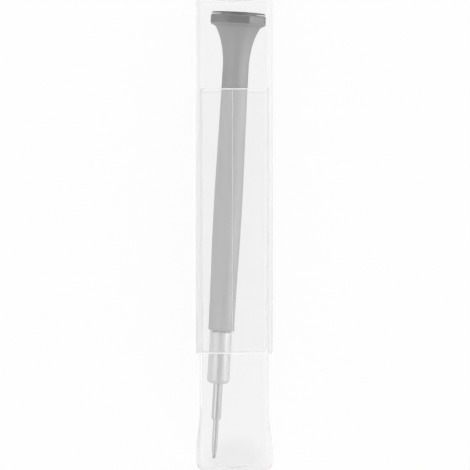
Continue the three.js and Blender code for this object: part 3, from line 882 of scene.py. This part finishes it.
def flare(foot_half, tube_half, steps=14):
    """The foot's flare, easing from the foot to the straight tube, as half widths and heights."""
    points = []
    for i in range(steps + 1):
        share = i / steps
        ease = share * share * (3 - 2 * share)
        points.append((foot_half + (tube_half - foot_half) * ease, FOOT_HEIGHT + FOOT_FLARE_LENGTH * share))
    return points


def wall_rim(outer, inner, height):
    """The rounded rim between a tube's outer and inner wall, as half widths and heights."""
    foot = height - RIM_DEPTH
    return eased([(outer, foot), (outer, height), (inner, height), (inner, foot)], RIM_EASE, 4)[1:-1]


def square_shell(name, section, place, length, half):
    """A clear shell through a section of half widths and heights. It is cloudy on top, worn along its upper edges and
    darker on its downward faces, a painted shade of its shadow on the floor. It is frosted along its seam and at its
    mouth, where the level sides carry a painted glow."""
    mesh = grid_mesh(name, [square_ring(*entry) for entry in section], place)
    back = place.inverted()
    for face in mesh.polygons:
        middle = back @ face.center
        raised = middle.z > half + SEAM_RISE / 4 and middle.y > SEAM_FOOT - SEAM_RUN_IN
        on_seam = raised and abs(middle.x - SEAM_X) < SEAM_HALF_WIDTH
        at_rim = middle.y > length - RIM_FROST
        # The level sides at the mouth carry a painted glow
        if at_rim and abs(middle.z) > half - RIM_PAINTED_GLOW_WITHIN:
            face.material_index = PAINTED_GLOW
        elif at_rim or on_seam:
            face.material_index = FROSTED
        elif middle.z > 0 and face.normal.z > LEVEL_PART:
            face.material_index = TOP
        elif middle.z > 0 and face.normal.z > EDGE_PART:
            face.material_index = WORN
        # Downward faces take the painted shade
        elif middle.z < 0 and face.normal.z < -EDGE_PART:
            face.material_index = UNDER
        else:
            face.material_index = SIDE
    return mesh


def dipped(section):
    """A section of the foot's end whose first heights dip at the middle of the top and bottom sides."""
    return [(half, t, 0, FOOT_DIP * max(0, 1 - t / FOOT_DIP_REACH)) for half, t in section]


def case_base():
    low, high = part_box("case_base")
    length = (high.y - low.y) / MM
    inner = BASE_HALF - BASE_WALL
    foot_inner = CASE_HALF - BASE_WALL
    dish = end_dish(CASE_HALF - FOOT_CORNER_RADIUS, FOOT_DISH_DEPTH)
    floor = [(h, BASE_END_WALL + t) for h, t in [*dish, *end_turn(foot_inner, FOOT_CORNER_RADIUS - BASE_WALL)]]
    section = [
        *dish[:-1],
        *dipped([dish[-1], *end_turn(CASE_HALF, FOOT_CORNER_RADIUS)]),
        *flare(CASE_HALF, BASE_HALF),
        (BASE_HALF, SEAM_FOOT - SEAM_RUN_IN),
        (BASE_HALF, SEAM_FOOT, SEAM_RISE),
        (BASE_HALF, length - 2 * SEAM_RUN_OUT, SEAM_RISE),
        (BASE_HALF, length - SEAM_RUN_OUT),
        *wall_rim(BASE_HALF, inner, length),
        *reversed(flare(foot_inner, inner)),
        *reversed(floor),
    ]
    mesh = square_shell("case_base_clear", section, case_frame(low.y, 1), length, BASE_HALF)
    materials = [CLEAR_SIDE, BASE_PLASTIC, FROSTED_EDGE, BASE_WORN_EDGE, PAINTED_SHADE_UNDERSIDE, PAINTED_GLOW_EDGE]
    finished("case_base_clear", mesh, materials, "base", "clear_plastic", "case_base")


def case_sleeve():
    low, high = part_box("case_sleeve")
    length = (high.y - low.y) / MM
    inner = CASE_HALF - SLEEVE_WALL
    dish = end_dish(CASE_HALF - SLEEVE_END_RADIUS, SLEEVE_DISH_DEPTH)
    floor = [(h, SLEEVE_END_WALL + t) for h, t in [*dish, *end_turn(inner, SLEEVE_END_RADIUS - SLEEVE_WALL)]]
    section = [
        *dish,
        *end_turn(CASE_HALF, SLEEVE_END_RADIUS),
        *wall_rim(CASE_HALF, inner, length),
        *reversed(floor),
    ]
    mesh = square_shell("case_sleeve_clear", section, case_frame(high.y, -1), length, CASE_HALF)
    materials = [CLEAR_SIDE, SLEEVE_PLASTIC, FROSTED_EDGE, SLEEVE_WORN_EDGE, PAINTED_SHADE_UNDERSIDE, PAINTED_GLOW_EDGE]
    finished("case_sleeve_clear", mesh, materials, "sleeve", "clear_plastic", "case_sleeve")


def inner_works():
    """The nodes inside the tool that keep their solids and get their finishes."""
    for names, material in (
        (("bearing_inner_race", "bearing_outer_race", "bearing_shield_upper", "bearing_shield_lower"), BEARING_STEEL),
        (("ball_cage",), CAGE_BRASS),
        (("pivot_screw",), NUT_STEEL),
        (("collet",), BLADE_STEEL),
    ):
        for name in names:
            frame["nodes"][name].data.materials.clear()
            frame["nodes"][name].data.materials.append(material)


handle()
swivel_cap()
cap_insert()
chuck_nut()
blade()
bearing_balls()
case_base()
case_sleeve()
inner_works()


# Stage


def floor():
    """A white floor that keeps a little of the object's shadow."""
    material = bpy.data.materials.new("floor")
    material.use_nodes = True
    tree = material.node_tree
    tree.nodes.clear()
    out = tree.nodes.new("ShaderNodeOutputMaterial")
    diffuse = tree.nodes.new("ShaderNodeBsdfDiffuse")
    diffuse.inputs["Color"].default_value = (FLOOR_SHADE, FLOOR_SHADE, FLOOR_SHADE, 1)
    white = tree.nodes.new("ShaderNodeEmission")
    white.inputs["Strength"].default_value = 1
    path = tree.nodes.new("ShaderNodeLightPath")
    seen = path.outputs["Is Camera Ray"]
    for kind in ("Is Glossy Ray", "Is Transmission Ray"):
        either = tree.nodes.new("ShaderNodeMath")
        either.operation = "MAXIMUM"
        tree.links.new(seen, either.inputs[0])
        tree.links.new(path.outputs[kind], either.inputs[1])
        seen = either.outputs["Value"]
    share = tree.nodes.new("ShaderNodeMath")
    share.operation = "MULTIPLY"
    share.inputs[1].default_value = FLOOR_WHITE_SHARE
    tree.links.new(seen, share.inputs[0])
    mix = tree.nodes.new("ShaderNodeMixShader")
    tree.links.new(share.outputs["Value"], mix.inputs["Fac"])
    tree.links.new(diffuse.outputs["BSDF"], mix.inputs[1])
    tree.links.new(white.outputs["Emission"], mix.inputs[2])
    tree.links.new(mix.outputs["Shader"], out.inputs["Surface"])
    bm = bmesh.new()
    bmesh.ops.create_grid(bm, x_segments=1, y_segments=1, size=FLOOR_HALF_M)
    mesh = bpy.data.meshes.new("floor")
    bm.to_mesh(mesh)
    bm.free()
    mesh.materials.append(material)
    made = bpy.data.objects.new("floor", mesh)
    made.location.z = -FLOOR_BELOW * MM
    bpy.context.scene.collection.objects.link(made)


def soft_lamp(name, place, size, power):
    """A rectangular lamp that faces the object. Its place and size are in metres."""
    data = bpy.data.lights.new(name, "AREA")
    data.shape = "RECTANGLE"
    data.size, data.size_y = size
    data.energy = power
    made = bpy.data.objects.new(name, data)
    made.location = place
    made.rotation_euler = (-Vector(place)).to_track_quat("-Z", "Y").to_euler()
    bpy.context.scene.collection.objects.link(made)


def world():
    """A pale surround that is darker overhead and to the left, and white behind the floor."""
    made = bpy.data.worlds.new("surround")
    bpy.context.scene.world = made
    made.use_nodes = True
    tree = made.node_tree
    place = tree.nodes.new("ShaderNodeTexCoord")
    split = tree.nodes.new("ShaderNodeSeparateXYZ")
    tree.links.new(place.outputs["Generated"], split.inputs["Vector"])
    up = tree.nodes.new("ShaderNodeMapRange")
    up.interpolation_type = "SMOOTHSTEP"
    up.inputs["From Min"].default_value, up.inputs["From Max"].default_value = OVERHEAD_FROM
    up.inputs["To Min"].default_value, up.inputs["To Max"].default_value = OVERHEAD_TO
    tree.links.new(split.outputs["Z"], up.inputs["Value"])
    across = tree.nodes.new("ShaderNodeMapRange")
    across.inputs["From Min"].default_value, across.inputs["From Max"].default_value = ACROSS_FROM
    across.inputs["To Min"].default_value, across.inputs["To Max"].default_value = ACROSS_TO
    tree.links.new(split.outputs["X"], across.inputs["Value"])
    level = tree.nodes.new("ShaderNodeMath")
    level.operation = "MULTIPLY"
    tree.links.new(up.outputs["Result"], level.inputs[0])
    tree.links.new(across.outputs["Result"], level.inputs[1])
    path = tree.nodes.new("ShaderNodeLightPath")
    shown = tree.nodes.new("ShaderNodeMix")
    tree.links.new(path.outputs["Is Camera Ray"], shown.inputs["Factor"])
    tree.links.new(level.outputs["Value"], shown.inputs["A"])
    shown.inputs["B"].default_value = 1
    background = tree.nodes["Background"]
    background.inputs["Color"].default_value = (1, 1, 1, 1)
    tree.links.new(shown.outputs["Result"], background.inputs["Strength"])


floor()
soft_lamp("right_lamp", place=(0.9, 0.1, 0.25), size=(0.5, 1.0), power=1.9)
soft_lamp("left_lamp", place=(-0.7, -0.2, 0.9), size=(0.4, 0.8), power=1)
world()

scene = bpy.context.scene
scene.view_settings.view_transform = "Standard"
scene.cycles.max_bounces = LIGHT_BOUNCES
scene.cycles.transmission_bounces = LIGHT_BOUNCES
scene.cycles.transparent_max_bounces = LIGHT_BOUNCES
scene.cycles.glossy_bounces = LIGHT_BOUNCES
scene.cycles.caustics_reflective = True
scene.cycles.caustics_refractive = True
